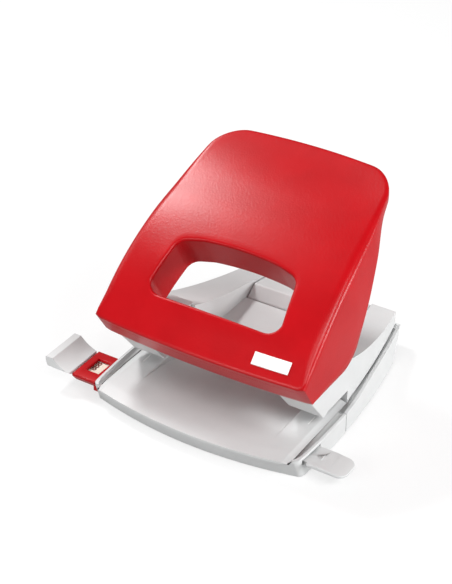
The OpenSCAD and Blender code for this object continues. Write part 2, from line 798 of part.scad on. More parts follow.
module label_plate() {
    label_x = 32.7;
    label_w = 15.6;
    label_h = 4.8;
    label_t = 0.4;
    label_gap = 0.08;
    label_up = 7;
    y = lip_y + label_up * cos(face_front_a);
    bow_q = 1 - pow(label_x / handle_half, 2);
    yaw = atan(2 * lip_bow * label_x / pow(handle_half, 2));
    crown = face_crown * fade(y, lip_y, lip_y + 25) * bow_q;
    color(white) translate([label_x, y - lip_bow * bow_q, face_z(y) + crown]) rotate([face_front_a, 0, yaw])
        translate([-label_w / 2, -label_h / 2, label_gap]) cube([label_w, label_h, label_t]);
}

module format_window() {
    neck = slot_side - run_gap;
    neck_end = -base_half + base_wall + part_gap;
    sleeve_floor = 1.2;
    sleeve_edge = 1.3;
    floor_z = rail_low - sleeve_floor;
    scale_gap = 0.25;
    view_start = 0.314;
    view_end = 0.059;
    view_front = 4;
    view_back = 5;
    color(red) difference() {
        union() {
            difference() {
                slab_x(sleeve_x1, -table_half, [[sleeve_y0, sleeve_top],
                    [sleeve_y0, sleeve_top - sleeve_edge], [rail_front - sleeve_floor, floor_z],
                    [sleeve_y1, floor_z], [sleeve_y1, sleeve_top]]);
                slab_z(0, 2 * table_z, front_points(-run_gap, seam_y));
            }
            block(sleeve_x0 - part_gap, neck_end, rail_front - neck, rail_back + neck,
                rail_low - neck, table_low - run_gap);
        }
        block(sleeve_x1 - cut, neck_end + cut, rail_front - part_gap, rail_back + part_gap,
            rail_low - part_gap, rail_top + scale_t + scale_gap);
        block(sleeve_x1 + view_start * sleeve_len, sleeve_x0 - view_end * sleeve_len,
            rail_y - view_front, rail_y + view_back, rail_low, sleeve_top + cut);
    }
}

// Leaf spring: a flat strip bent up in the middle, standing on its block under the rail
module guide_spring() {
    leaf_t = 0.5;
    leaf_w = 3;
    foot_x = 5;
    crest_x = 1.5;
    top = rail_low - rail_rest;
    color(spring_steel) slab_y(rail_y - leaf_w, rail_y + leaf_w, mirrored([[crest_x, top - leaf_t],
        [foot_x, leaf_low], [leaf_half, leaf_low], [leaf_half, leaf_low + leaf_t],
        [foot_x + 0.2, leaf_low + leaf_t], [crest_x + 0.2, top]]));
}

module guide_rail() {
    tab_x0 = base_half + 0.6;
    tab_x1 = base_half + tab_out;
    round_r = 4;
    tip_x = tab_x0 + tab_out * 0.55;
    tip_fall = 0.7;
    arrow_x = tab_x0 + 1.2;
    arrow_l = 2.6;
    arrow_half = 1.7;
    arrow_h = 0.4;
    color(light_grey) union() {
        block(rail_left, tab_x0 + cut, rail_front, rail_back, rail_low, rail_top);
        difference() {
            slab_z(rail_low, rail_top, concat([[tab_x0, tab_y0]],
                arc_points([tab_x1 - round_r, tab_y0 + round_r], round_r, -90, 0, 6),
                arc_points([tab_x1 - round_r, tab_y1 - round_r], round_r, 0, 90, 6), [[tab_x0, tab_y1]]));
            slab_y(tab_y0 - cut, tab_y1 + cut, [[tip_x, rail_top], [tab_x1 + cut, rail_top - tip_fall],
                [tab_x1 + cut, rail_top + cut], [tip_x, rail_top + cut]]);
        }
        slab_z(rail_top - cut, rail_top + arrow_h, [[arrow_x, rail_y],
            [arrow_x + arrow_l, rail_y - arrow_half], [arrow_x + arrow_l, rail_y + arrow_half]]);
    }
}

module guide_stop() {
    face = -stop_reach;
    thick = 4.3;
    heel_r = 7;
    lead = 0.5;
    sag = 0.7;
    foot = [sleeve_x1 - part_gap, sleeve_top + 0.1];
    brow = [face, stop_z - lead];
    y0 = sleeve_y0 - 1.5;
    y1 = sleeve_y1 - 0.6;
    edge_z = rail_top + 2.2;
    color(light_grey) intersection() {
        slab_y(y0, y1, concat(
            [[rail_left, rail_low], [rail_left, rail_top + seat_gap], [foot.x, rail_top + seat_gap]],
            [for (t = [0:0.125:1]) foot + t * (brow - foot) - [0, 4 * sag * t * (1 - t)]],
            [[face - lead, stop_z], [face - thick + lead, stop_z],
                [face - thick, stop_z - lead]],
            arc_points([face - thick + heel_r, rail_low + heel_r], heel_r, 180, 270, 6)));
        slab_x(face - thick - cut, rail_left + cut, [[y0, stop_z + cut], [y0, edge_z], [rail_front, rail_low],
            [y1 + cut, rail_low], [y1 + cut, stop_z + cut]]);
    }
}

module format_scale() {
    scale_end = base_half - 14;
    scale_front = 3.8;
    scale_back = 4.8;
    color(cream) block(sleeve_x1 + 1, scale_end, rail_y - scale_front, rail_y + scale_back,
        rail_top, rail_top + scale_t);
}

// Half width of the tray's top edge: flush with the rim at the seam, then close along the cheek
function tray_edge(y) = let (t = min(1, (y - seam_y) / tray_blend))
    side_half(y) * (1 - t) + (cheek_half(y) + tray_gap + tray_wall) * t;

// Shelf of the tray that closes the groove below the cheek's lower edge
module tray_shelf() {
    shelf_t = 1;
    shelf_in = 0.6;
    y0 = seam_y + seam_gap;
    y1 = deck_front + riser_t + part_gap;
    y2 = body_rear - 3;
    slab_z(groove_z - shelf_t, groove_z, concat(
        [for (y = span(y2, y1, 12)) [cheek_half(y) - shelf_in, y]],
        [[table_half + part_gap, y1], [table_half + part_gap, y0]],
        [for (y = span(y0, y2, 12)) [tray_edge(y) - tray_wall / 2, y]]));
}

// Plan of the tray at its foot and at its top edge
function tray_foot_plan(inset) = mirrored(concat([[0, seam_y + seam_gap + inset]],
    [for (y = span(seam_y + seam_gap + inset, tray_foot_y - inset, 12)) [side_half(y) - inset, y]]));
function tray_top_plan(inset) = mirrored(concat([[0, seam_y + seam_gap + inset]],
    [for (y = span(seam_y + seam_gap + inset, tray_rear_y - inset, 12))
        [tray_edge(y) - inset, y]]));

module tray_bowl() {
    difference() {
        hull() {
            slab_z(foot_h, foot_h + 0.1, tray_foot_plan(0));
            slab_z(tray_top - 0.1, tray_top, tray_top_plan(0));
        }
        hull() {
            slab_z(foot_h + tray_floor, foot_h + tray_floor + 0.1, tray_foot_plan(tray_wall));
            slab_z(tray_top, tray_top + cut, tray_top_plan(tray_wall));
        }
        both() slab_z(groove_z, tray_top + cut, cheek_plan(0, tray_gap));
        both() slab_z(groove_z, tray_top + cut, concat(
            [for (y = span(seam_y, body_rear - 3, 12)) [tray_edge(y) - lip_w, y]],
            [[well_half, body_rear - 3], [well_half, seam_y]]));
        block(-tray_open, tray_open, seam_y, seam_y + 4, foot_h + tray_floor, tray_top + cut);
    }
}

// Front lobe of the tray, under a die, with the hinge's knuckle
module tray_lobe() {
    lobe_in = tongue_half + tongue_gap;
    lobe_top = table_low - scoop_depth - part_gap;
    lobe_wall = 1.4;
    hollow_y = hinge_y + knuckle_r + 0.8;
    rear = seam_y + 3;
    difference() {
        union() {
            block(lobe_in, lobe_out, hinge_y, rear, foot_h, lobe_top);
            rod_x(lobe_in, lobe_out, hinge_y, hinge_z, knuckle_r);
        }
        block(lobe_in + lobe_wall, lobe_out - lobe_wall, hollow_y, rear + cut, foot_h + tray_floor,
            lobe_top + cut);
        rod_x(0, base_half, hinge_y, hinge_z, hinge_r + run_gap);
    }
}

module chip_tray() {
    grip_y0 = body_rear - tail_len + 0.5;
    grip_z = cheek_end_z + 0.6;
    half0 = well_half - part_gap;
    half1 = well_half - well_taper - part_gap;
    grip_wall = 1.8;
    grip_rise = 4.4;
    color(light_grey) union() {
        difference() {
            tray_bowl();
            block(-tongue_half - tongue_gap, tongue_half + tongue_gap, seam_y - cut, seam_y + 2,
                foot_h - cut, foot_h + tongue_t + cut);
        }
        both() tray_lobe();
        both() tray_shelf();
        difference() {
            intersection() {
                slab_x(-base_half, base_half, [[grip_y0, deck_z - 0.6], [grip_y0, deck_z + 1.4],
                    [grip_y0 + grip_rise, grip_z], [body_rear - 0.6, grip_z - 0.8],
                    [body_rear + 0.4, tray_top], [body_rear - 1.5, deck_z - grip_wall]]);
                slab_z(0, tower_z, mirrored([[half0, grip_y0 - cut], [half0, grip_y0 - 0.5],
                    [half1, body_rear + cut]]));
            }
            slab_x(-half1 + grip_wall, half1 - grip_wall, [[grip_y0 + grip_wall, deck_z - 2],
                [grip_y0 + grip_wall, deck_z + 0.6], [grip_y0 + grip_rise + cut, grip_z - grip_wall],
                [body_rear - 2 * grip_wall, grip_z - grip_wall - 0.6],
                [body_rear - 2 * grip_wall, deck_z - 2]]);
        }
    }
}

module tray_pins() {
    color(steel) both() rod_x(tongue_half - 4.8, table_half + 1, hinge_y, hinge_z, hinge_r);
}

module front_feet() {
    color(rubber) {
        both() block(foot_x - foot_half, foot_x + foot_half, foot_y0, foot_y1, 0, foot_h);
        block(-tongue_half + 1, tongue_half - 1, -5, seam_y, 0, foot_h);
    }
}

module tray_feet() {
    pad_x0 = 20;
    pad_x1 = 36;
    pad_y0 = tray_foot_y - 9;
    pad_l = 6;
    color(rubber) both() block(pad_x0, pad_x1, pad_y0, pad_y0 + pad_l, 0, foot_h);
}

front_base();
paper_table();
upper_body();
die_plate(-1);  // die_left
die_plate(1);  // die_right
bush(-1);  // bush_left
bush(1);  // bush_right
return_spring(-1);  // spring_left
return_spring(1);  // spring_right
pivot_axle();
axle_clips();
format_window();
guide_spring();
body_screws();
front_feet();
tray_pins();
handle_shell();
lever(-1);  // lever_left
lever(1);  // lever_right
press_pins();
lever_screws();
label_plate();
punch(-1);  // punch_left
punch(1);  // punch_right
collar(-1);  // collar_left
collar(1);  // collar_right
guide_rail();
guide_stop();
format_scale();
chip_tray();
tray_feet();
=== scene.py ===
import math

import bmesh
import bpy
from mathutils import Matrix, Vector


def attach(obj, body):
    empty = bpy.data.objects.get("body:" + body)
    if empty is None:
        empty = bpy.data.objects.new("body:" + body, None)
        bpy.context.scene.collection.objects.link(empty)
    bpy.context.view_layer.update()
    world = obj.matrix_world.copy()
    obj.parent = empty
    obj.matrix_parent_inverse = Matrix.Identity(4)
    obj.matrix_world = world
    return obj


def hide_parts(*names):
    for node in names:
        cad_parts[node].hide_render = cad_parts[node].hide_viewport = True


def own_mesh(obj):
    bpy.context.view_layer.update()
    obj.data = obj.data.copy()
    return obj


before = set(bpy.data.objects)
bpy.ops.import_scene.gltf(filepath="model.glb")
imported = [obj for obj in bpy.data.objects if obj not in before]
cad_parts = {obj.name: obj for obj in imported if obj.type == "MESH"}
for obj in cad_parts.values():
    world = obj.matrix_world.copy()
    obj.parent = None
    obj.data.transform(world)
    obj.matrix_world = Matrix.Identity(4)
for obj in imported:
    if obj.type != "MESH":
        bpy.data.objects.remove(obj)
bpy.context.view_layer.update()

# Studio: a sheet of white card under the punch, a pale room all round, and six soft boxes.
# The upper one hangs on the left, so that the grip shows a broad sheen, and a strip on the right
# draws the bright line along the handle's rounded edge.
mm = 0.001


def linear(hex_colour):
    """Linear colour of an sRGB hex value."""
    channels = [int(hex_colour[i:i + 2], 16) / 255 for i in (1, 3, 5)]
    return [c / 12.92 if c <= 0.04045 else ((c + 0.055) / 1.055) ** 2.4 for c in channels] + [1]


def add(tree, kind, inputs, **settings):
    """Adds a node. An input is a value, or a socket of another node, which is linked."""
    node = tree.nodes.new("ShaderNode" + kind)
    for name, value in settings.items():
        setattr(node, name, value)
    for name, value in inputs.items():
        if isinstance(value, bpy.types.NodeSocket):
            tree.links.new(value, node.inputs[name])
        else:
            node.inputs[name].default_value = value
    return node


def empty_tree(owner):
    """The owner's node tree, with nothing in it."""
    owner.use_nodes = True
    owner.node_tree.nodes.clear()
    return owner.node_tree


glossy_share = 0.3


def seen_directly(tree):
    """1 for rays of the camera and a part of 1 for rays that a glossy surface sends on, 0 for light."""
    path = add(tree, "LightPath", {})
    mirrored = add(tree, "Math", {0: path.outputs["Is Glossy Ray"], 1: glossy_share}, operation="MULTIPLY")
    return add(tree, "Math", {0: path.outputs["Is Camera Ray"], 1: mirrored.outputs[0]},
               operation="MAXIMUM").outputs[0]


room_light = 0.08
world = bpy.data.worlds.new("room")
bpy.context.scene.world = world
tree = empty_tree(world)
room = add(tree, "Background", {"Color": linear("#ffffff"), "Strength": room_light})
backdrop = add(tree, "Background", {"Color": linear("#ffffff"), "Strength": 1.0})
seen = add(tree, "MixShader", {0: seen_directly(tree), 1: room.outputs[0], 2: backdrop.outputs[0]})
add(tree, "OutputWorld", {"Surface": seen.outputs[0]})

floor_half = 3.0
floor_glow = 0.68
card_bounce = "#b2b2b2"
bm = bmesh.new()
bmesh.ops.create_grid(bm, x_segments=1, y_segments=1, size=floor_half)
floor_mesh = bpy.data.meshes.new("card_floor")
bm.to_mesh(floor_mesh)
bm.free()
floor = bpy.data.objects.new("card_floor", floor_mesh)
bpy.context.collection.objects.link(floor)
card = bpy.data.materials.new("white_card")
tree = empty_tree(card)
to_camera = add(tree, "LightPath", {}).outputs["Is Camera Ray"]
tint = add(tree, "Mix", {0: to_camera, 6: linear(card_bounce), 7: linear("#fafafa")}, data_type="RGBA")
matt = add(tree, "BsdfDiffuse", {"Color": tint.outputs[2]})
glow = add(tree, "Emission", {"Color": linear("#ffffff"), "Strength": 1.0})
share = add(tree, "Math", {0: seen_directly(tree), 1: floor_glow}, operation="MULTIPLY")
lit = add(tree, "MixShader", {0: share.outputs[0], 1: matt.outputs[0], 2: glow.outputs[0]})
add(tree, "OutputMaterial", {"Surface": lit.outputs[0]})
floor_mesh.materials.append(card)

view_target = Vector((-2.2, -4.0, 54.7)) * mm
soft_boxes = {
    "left_box": ((-800, 0, 480), 420, 380, 1.0),
    "upper_box": ((-600, 170, 780), 220, 160, 6.0),
    "right_strip": ((690, -150, 690), 480, 240, 5.6),
    "front_box": ((-150, -900, 420), 600, 420, 4.5),
    "top_box": ((330, -560, 900), 420, 380, 2.0),
    "right_fill": ((850, 350, 95), 420, 160, 5.0),
}
for name, (place, width, height, power) in soft_boxes.items():
    lamp = bpy.data.lights.new(name, "AREA")
    lamp.shape = "RECTANGLE"
    lamp.size = width * mm
    lamp.size_y = height * mm
    lamp.energy = power
    stand = bpy.data.objects.new(name, lamp)
    stand.location = Vector(place) * mm
    stand.rotation_euler = (view_target - stand.location).to_track_quat("-Z", "Y").to_euler()
    bpy.context.collection.objects.link(stand)

camera_place = Vector((282.9, -453.2, 402.0)) * mm
camera = bpy.data.objects.new("camera", bpy.data.cameras.new("camera"))
camera.data.sensor_width = 36
camera.data.lens = 98.63
camera.location = camera_place
camera.rotation_euler = (view_target - camera_place).to_track_quat("-Z", "Y").to_euler()
bpy.context.collection.objects.link(camera)
bpy.context.scene.camera = camera
bpy.context.scene.view_settings.view_transform = "Standard"

# Front base: the grey tub that everything is screwed to, one moulding in light grey ABS with a fine
# matt spark finish. Its front wall leans in under the rim, and two rims stand up beside the table.


def moulded_abs(name, colours, roughness, cell, depth, shine, blotch=14):
    """ABS from a textured steel mould: soft gloss, a cell-like grain and a faint unevenness of tone.
    Sizes are in millimetres. The real grain is finer, and it is drawn as coarse as it shows."""
    material = bpy.data.materials.new(name)
    tree = empty_tree(material)
    place = add(tree, "TexCoord", {}).outputs["Object"]
    tone = add(tree, "TexNoise", {"Vector": place, "Scale": 1 / (blotch * mm), "Detail": 3})
    colour = add(tree, "ValToRGB", {0: tone.outputs[0]})
    colour.color_ramp.elements[0].position = 0.35
    colour.color_ramp.elements[0].color = linear(colours[0])
    colour.color_ramp.elements[1].position = 0.65
    colour.color_ramp.elements[1].color = linear(colours[1])
    cells = add(tree, "TexVoronoi", {"Vector": place, "Scale": 1 / (cell * mm), "Randomness": 1.0},
                feature="SMOOTH_F1")
    fine = add(tree, "TexNoise", {"Vector": place, "Scale": 2.4 / (cell * mm), "Detail": 2})
    height = add(tree, "Math", {0: cells.outputs["Distance"], 1: fine.outputs[0]}, operation="ADD")
    grain = add(tree, "Bump", {"Height": height.outputs[0], "Distance": depth * mm, "Strength": 0.6})
    gloss = add(tree, "MapRange", {0: fine.outputs[0], 3: roughness - 0.05, 4: roughness + 0.05})
    shader = add(tree, "BsdfPrincipled", {"Base Color": colour.outputs[0], "Roughness": gloss.outputs[0],
                 "IOR": 1.53, "Specular IOR Level": shine, "Normal": grain.outputs[0]})
    add(tree, "OutputMaterial", {"Surface": shader.outputs[0]})
    return material


def merged_copy(node):
    """A copy of a CAD node's mesh, its doubles merged and the triangles of flat faces joined."""
    bm = bmesh.new()
    bm.from_mesh(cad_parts[node].data)
    bmesh.ops.remove_doubles(bm, verts=bm.verts[:], dist=0.001 * mm)
    bmesh.ops.dissolve_limit(bm, angle_limit=math.radians(0.5), verts=bm.verts[:], edges=bm.edges[:])
    return bm


def round_edges(bm, width, wanted, segments=3, sharper=28):
    """Rounds the sharp edges whose middle, in millimetres, is wanted and that have room for it."""
    cramped = {v for e in bm.edges if e.calc_length() < 2.1 * width * mm for v in e.verts}
    edges = [e for e in bm.edges if e.is_manifold and e.calc_face_angle() > math.radians(sharper)
             and not cramped.intersection(e.verts)
             and wanted((e.verts[0].co + e.verts[1].co) / 2 / mm)]
    bmesh.ops.bevel(bm, geom=edges, offset=width * mm, affect="EDGES", segments=segments, profile=0.5,
                    material=-1, clamp_overlap=True)


def place_piece(bm, name, material, body, nodes=(), smooth_a=30):
    """Makes the mesh an object that stands for its nodes and rides on its body."""
    mesh = bpy.data.meshes.new(name)
    bm.to_mesh(mesh)
    bm.free()
    mesh.materials.append(material)
    mesh.shade_smooth()
    mesh.set_sharp_from_angle(angle=math.radians(smooth_a))
    piece = bpy.data.objects.new(name, mesh)
    bpy.context.collection.objects.link(piece)
    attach(piece, body)
    if nodes:
        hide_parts(*nodes)
    return piece


table_z, table_half, table_rear = 9.7, 45.8, 11.8
rim_top = table_z + 0.1
grey_abs = moulded_abs("grey_spark_abs", ("#d1d2d2", "#d5d6d6"), 0.5, cell=0.7, depth=0.012, shine=0.4)
bm = merged_copy("front_base")
round_edges(bm, 0.35, lambda p: p.z > rim_top - 0.05)
place_piece(bm, "base_tub", grey_abs, "base", ["front_base"])

# Rubber feet: soft black pads glued under the tub and the tray. Moulded rubber shows a dull bloom in
# patches a few millimetres wide.


def mottled(name, colours, roughness, ior, spot, detail, depth=0.0, strength=0.0):
    """A matt material with soft spots of tone, in millimetres, that also raise its skin by a depth."""
    material = bpy.data.materials.new(name)
    tree = empty_tree(material)
    place = add(tree, "TexCoord", {}).outputs["Object"]
    spots = add(tree, "TexNoise", {"Vector": place, "Scale": 1 / (spot * mm), "Detail": detail})
    tone = add(tree, "ValToRGB", {0: spots.outputs[0]})
    tone.color_ramp.elements[0].color = linear(colours[0])
    tone.color_ramp.elements[1].color = linear(colours[1])
    surface = {"Base Color": tone.outputs[0], "Roughness": roughness, "IOR": ior}
    if depth:
        skin = add(tree, "Bump", {"Height": spots.outputs[0], "Distance": depth * mm, "Strength": strength})
        surface["Normal"] = skin.outputs[0]
    shader = add(tree, "BsdfPrincipled", surface)
    add(tree, "OutputMaterial", {"Surface": shader.outputs[0]})
    return material


def finish_node(name, material):
    """Gives a CAD node that stays in view its material."""
    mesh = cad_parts[name].data
    mesh.materials.clear()
    mesh.materials.append(material)


rubber = mottled("moulded_rubber", ("#2a2b2c", "#4a4b4c"), 0.85, 1.52, spot=2.5, detail=5,
                 depth=0.03, strength=0.5)
for name in ("front_feet", "tray_feet"):
    finish_node(name, rubber)

# Die plates: two hardened steel plates let into the tub under the table, each bored for its punch.
# The steel of the whole mechanism is bright, cold drawn or stamped, with fine marks along the part.


def bright_steel(name, colours, roughness, streak):
    """Drawn or stamped steel: a mirror softened by fine marks, wider than the real ones so that they show."""
    material = bpy.data.materials.new(name)
    tree = empty_tree(material)
    place = add(tree, "TexCoord", {}).outputs["Object"]
    drawn = add(tree, "Mapping", {"Vector": place, "Scale": streak})
    marks = add(tree, "TexNoise", {"Vector": drawn.outputs[0], "Scale": 1 / (0.35 * mm), "Detail": 3})
    tone = add(tree, "ValToRGB", {0: marks.outputs[0]})
    tone.color_ramp.elements[0].position = 0.3
    tone.color_ramp.elements[0].color = linear(colours[0])
    tone.color_ramp.elements[1].position = 0.7
    tone.color_ramp.elements[1].color = linear(colours[1])
    gloss = add(tree, "MapRange", {0: marks.outputs[0], 3: roughness - 0.06, 4: roughness + 0.1})
    fine = add(tree, "Bump", {"Height": marks.outputs[0], "Distance": 0.006 * mm, "Strength": 0.5})
    shader = add(tree, "BsdfPrincipled", {"Base Color": tone.outputs[0], "Roughness": gloss.outputs[0],
                 "Metallic": 1.0, "Normal": fine.outputs[0]})
    add(tree, "OutputMaterial", {"Surface": shader.outputs[0]})
    return material


steel = bright_steel("bright_steel", ("#a9acb0", "#c6c9cc"), 0.26, (1.0, 1.0, 0.12))
for name in ("die_left", "die_right"):
    finish_node(name, steel)

# Paper table: the grey plate that the sheet lies on, clipped into the tub. It slopes off at the front,
# and a broad scoop in the middle runs down to the rear, so that a finger can lift the sheet.
table_t = 1.1  # thickness of the plate
front_reach, front_bow, base_half = 40.0, 6.5, 50.0
slope_run, slope_drop = 6.0, 0.7
scoop_half, scoop_depth, scoop_y0, scoop_y1 = 33.0, 4.7, -26.0, 6.0
scoop_r = ((scoop_y1 - scoop_y0) ** 2 + scoop_depth ** 2) / (2 * scoop_depth)
pin_x, hole_r = 40.0, 2.95
hole_square, square_steps = 3.3, 16  # square of the grid, half its width, that turns into a hole
near_square = hole_square + 0.01
mark_front, mark_rear, mark_depth = -9.5, -3.9, 0.25
mark_half = 0.1
lip_run, lip_drop = 0.5, 0.3  # soft lip along the scoop's sides
edge_run, edge_fall = 2.6, 0.8


def steps(start, end, count):
    """Even steps from start up to, but without, the end."""
    return [start + (end - start) * i / count for i in range(count)]


def table_top(x, y, front):
    """Height of the table's upper side."""
    z = table_z - slope_drop * max(0, 1 - (y - front) / slope_run)
    along = min(max(y - scoop_y0, 0), scoop_y1 - scoop_y0)
    depth = scoop_r - math.sqrt(scoop_r ** 2 - along ** 2)
    side = abs(x)
    if side < scoop_half:
        z -= depth
    elif side < scoop_half + lip_run:
        z -= min(depth, lip_drop) * (1 - (side - scoop_half) / lip_run) ** 2
    z -= edge_fall * max(0, (side - table_half + edge_run) / edge_run)
    if abs(side - pin_x) < mark_half and mark_front < y < mark_rear:
        z -= mark_depth
    return z


# Columns and rows of the plate's grid, close together at the scoop's sides and round the holes
half_columns = (steps(0, 30, 10) + [30.0, 31.8, 32.5, 32.85, 32.97, 33.0, 33.1, 33.25, 33.5, 34.2, 35.4]
                + steps(pin_x - hole_square, pin_x + hole_square, square_steps)
                + [pin_x + hole_square, 43.5, 44.2, 45.0, 45.5, table_half])
columns = [-x for x in half_columns[:0:-1]] + half_columns
front_rows = 12
rows = (steps(-28, mark_front, 24) + [mark_front, mark_front + 0.3, -8.0, -6.5, -5.0, -4.0]
        + steps(-hole_square, hole_square, square_steps) + steps(hole_square, table_rear, 10) + [table_rear])
bm = bmesh.new()
bmesh.ops.create_grid(bm, x_segments=len(columns) - 1, y_segments=front_rows + len(rows) - 1, size=1)
bm.verts.ensure_lookup_table()
for index, vert in enumerate(bm.verts[:]):
    row, column = divmod(index, len(columns))
    x = columns[column]
    front = -front_reach + front_bow * (x / base_half) ** 2
    y = front + (rows[0] - front) * row / front_rows if row < front_rows else rows[row - front_rows]
    vert.co = Vector((x, y, table_top(x, y, front))) * mm
for side in (-1, 1):
    inside = [f for f in bm.faces if abs(f.calc_center_median().x / mm - side * pin_x) < hole_square
              and abs(f.calc_center_median().y / mm) < hole_square]
    bmesh.ops.delete(bm, geom=inside, context="FACES")
    border = [e for e in bm.edges if e.is_boundary and all(
        abs(v.co.x / mm - side * pin_x) < near_square and abs(v.co.y / mm) < near_square
        for v in e.verts)]
    made = bmesh.ops.extrude_edge_only(bm, edges=border)["geom"]
    for vert in (v for v in made if isinstance(v, bmesh.types.BMVert)):
        away = Vector((vert.co.x / mm - side * pin_x, vert.co.y / mm)).normalized() * hole_r
        vert.co = Vector((side * pin_x + away.x, away.y, table_z)) * mm
bmesh.ops.recalc_face_normals(bm, faces=bm.faces[:])
if sum(f.normal.z for f in bm.faces) < 0:
    bmesh.ops.reverse_faces(bm, faces=bm.faces[:])
bmesh.ops.solidify(bm, geom=bm.faces[:], thickness=table_t * mm)
for vert in bm.verts:
    if abs(vert.co.x) > (table_half - edge_run) * mm:
        vert.co.z = max(vert.co.z, (table_z - table_t) * mm)
bmesh.ops.recalc_face_normals(bm, faces=bm.faces[:])
place_piece(bm, "table_plate", grey_abs, "base", ["paper_table"], smooth_a=40)

# Hole marks: two thin white bars on the table, in line with the punches, to set a sheet by. The white is a
# painted highlight that stands for the light a low moulded ridge catches there; it uses the label's silky
# white film.
mark_w = 0.5
# Smooth white film: the label's own colour, and on the hole marks a painted highlight.
film_and_highlight = mottled("white_film_and_painted_highlight", ("#f1f1f0", "#fbfbfa"), 0.42, 1.49, spot=0.8, detail=4, depth=0.01, strength=0.4)
bm = bmesh.new()
for side in (-1, 1):
    size = Matrix.Diagonal((mark_w * mm, (mark_rear - mark_front) * mm, mark_depth * mm, 1))
    middle = Vector((side * pin_x, (mark_front + mark_rear) / 2, table_z - mark_depth / 2)) * mm
    bmesh.ops.create_cube(bm, size=1, matrix=Matrix.Translation(middle) @ size)
# These white bars paint the highlight of a moulded ridge on the table.
place_piece(bm, "painted_highlight_marks", film_and_highlight, "base")

# Chip tray: the grey drawer under the punches that catches the paper discs, one ABS moulding hinged on
# two steel pins at the front, with a raised finger grip at the rear between the cheeks.
bm = merged_copy("chip_tray")
tray_rim_z = 10.2  # only the raised grip stands above it
round_edges(bm, 0.8, lambda p: p.z > tray_rim_z)
place_piece(bm, "chip_drawer", grey_abs, "tray", ["chip_tray"])
finish_node("tray_pins", steel)

# Upper body: towers, ears and cheeks in one grey ABS moulding, screwed to the tub's deck from below.
# The towers guide the punches, the ears carry the axle, and the cheeks run down to the rear.
bm = merged_copy("upper_body")
outer_x, deck_z = 44, 12  # the outer edges of towers and cheeks lie beyond both
round_edges(bm, 0.9, lambda p: abs(p.x) > outer_x and p.z > deck_z)
place_piece(bm, "tower_body", grey_abs, "base", ["upper_body"])
finish_node("body_screws", steel)

# Guide bushes: turned steel sleeves pressed into the towers, one round each punch. The spring stands
# on the flange at the top.
for name in ("bush_left", "bush_right"):
    finish_node(name, steel)

# Punches: two round steel cutters with a hollow ground edge, each with a slotted collar snapped into
# a groove near its top.
for name in ("punch_left", "punch_right", "collar_left", "collar_right"):
    finish_node(name, steel)

# Return springs: hard drawn steel wire wound round each punch between the bush and the collar, with
# the last turn closed at either end.
wire_r, spring_r = 0.4, 3.45
spring_foot, spring_head = 24.0, 38.85
end_turns, open_turns, turn_steps, wire_sides = 1.0, 5.5, 28, 10
end_rise = 2 * wire_r * 1.04
spring_gap = 0.02
spring_wire = bright_steel("drawn_spring_wire", ("#85888c", "#a4a7ab"), 0.32, (1.0, 1.0, 1.0))
open_rise = (spring_head - spring_foot - 2 * (wire_r + spring_gap + end_rise)) / open_turns
for side, joint in ((-1, "left_punch_stroke"), (1, "right_punch_stroke")):
    bm = bmesh.new()
    start = Vector((side * pin_x + spring_r, 0, spring_foot + wire_r + spring_gap)) * mm
    upright = Matrix.Translation(start) @ Matrix.Rotation(math.pi / 2, 4, "X")
    bmesh.ops.create_circle(bm, segments=wire_sides, radius=wire_r * mm, cap_ends=True, matrix=upright)
    geom = bm.faces[:] + bm.edges[:] + bm.verts[:]
    for turns, rise in ((end_turns, end_rise), (open_turns, open_rise), (end_turns, end_rise)):
        count = round(turns * turn_steps)
        geom = bmesh.ops.spin(bm, geom=geom, cent=(side * pin_x * mm, 0, 0), axis=(0, 0, 1),
                              dvec=(0, 0, rise * mm / turn_steps), angle=turns * 2 * math.pi,
                              steps=count)["geom_last"]
    bmesh.ops.remove_doubles(bm, verts=bm.verts[:], dist=0.001 * mm)
    bmesh.ops.recalc_face_normals(bm, faces=bm.faces[:])
    name = "left" if side < 0 else "right"
    spring = place_piece(bm, name + "_return_spring", spring_wire, "base",
                         ["spring_" + name], smooth_a=60)
    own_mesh(spring)

# Pivot axle: a ground steel rod through both ears, on which the levers turn. Two open clips of spring
# steel sit in its grooves and hold it.
finish_node("pivot_axle", steel)
finish_node("axle_clips", spring_wire)

# Levers: stamped steel channels that turn on the axle. A short press pin at the nose of each one bears
# on its punch, and a screw through its web holds the red shell.
for name in ("lever_left", "lever_right", "press_pins", "lever_screws"):
    finish_node(name, steel)

# Handle shell: the big red lever cover, one moulding in ABS with a fine leather-like grain.
# Its face runs steeply up from the front lip and bends into the flatter grip; a deep collar
# lines the hand window, and the whole back is open. It is screwed to the two steel levers.


def grow(bm, ring, points):
    """Extrudes a closed ring of vertices and puts its copy on the points. Returns the new ring."""
    count = len(ring)
    edges = [bm.edges.get((ring[i], ring[(i + 1) % count])) for i in range(count)]
    made = bmesh.ops.extrude_edge_only(bm, edges=edges)["geom"]
    fresh = {v for v in made if isinstance(v, bmesh.types.BMVert)}
    copies = [next(e.other_vert(v) for e in v.link_edges if e.other_vert(v) in fresh) for v in ring]
    for vert, point in zip(copies, points):
        vert.co = Vector(point) * mm
    return copies


def start_ring(bm, points):
    """A closed ring of vertices on the points, in millimetres."""
    ring = bmesh.ops.create_circle(bm, segments=len(points), radius=1)["verts"]
    for vert, point in zip(ring, points):
        vert.co = Vector(point) * mm
    return ring


def resample(points, count):
    """Points at even steps along a line of points, both ends kept."""
    lengths = [0]
    for a, b in zip(points, points[1:]):
        lengths.append(lengths[-1] + math.dist(a, b))
    line = []
    j = 0
    for i in range(count + 1):
        want = lengths[-1] * i / count
        while j < len(points) - 2 and lengths[j + 1] < want:
            j += 1
        part = (want - lengths[j]) / max(lengths[j + 1] - lengths[j], 1e-9)
        line.append(tuple(a + (b - a) * part for a, b in zip(points[j], points[j + 1])))
    return line


def ease(value, low, high):
    """Runs smoothly from 0 at low to 1 at high."""
    t = min(1, max(0, (value - low) / (high - low)))
    return t * t * (3 - 2 * t)


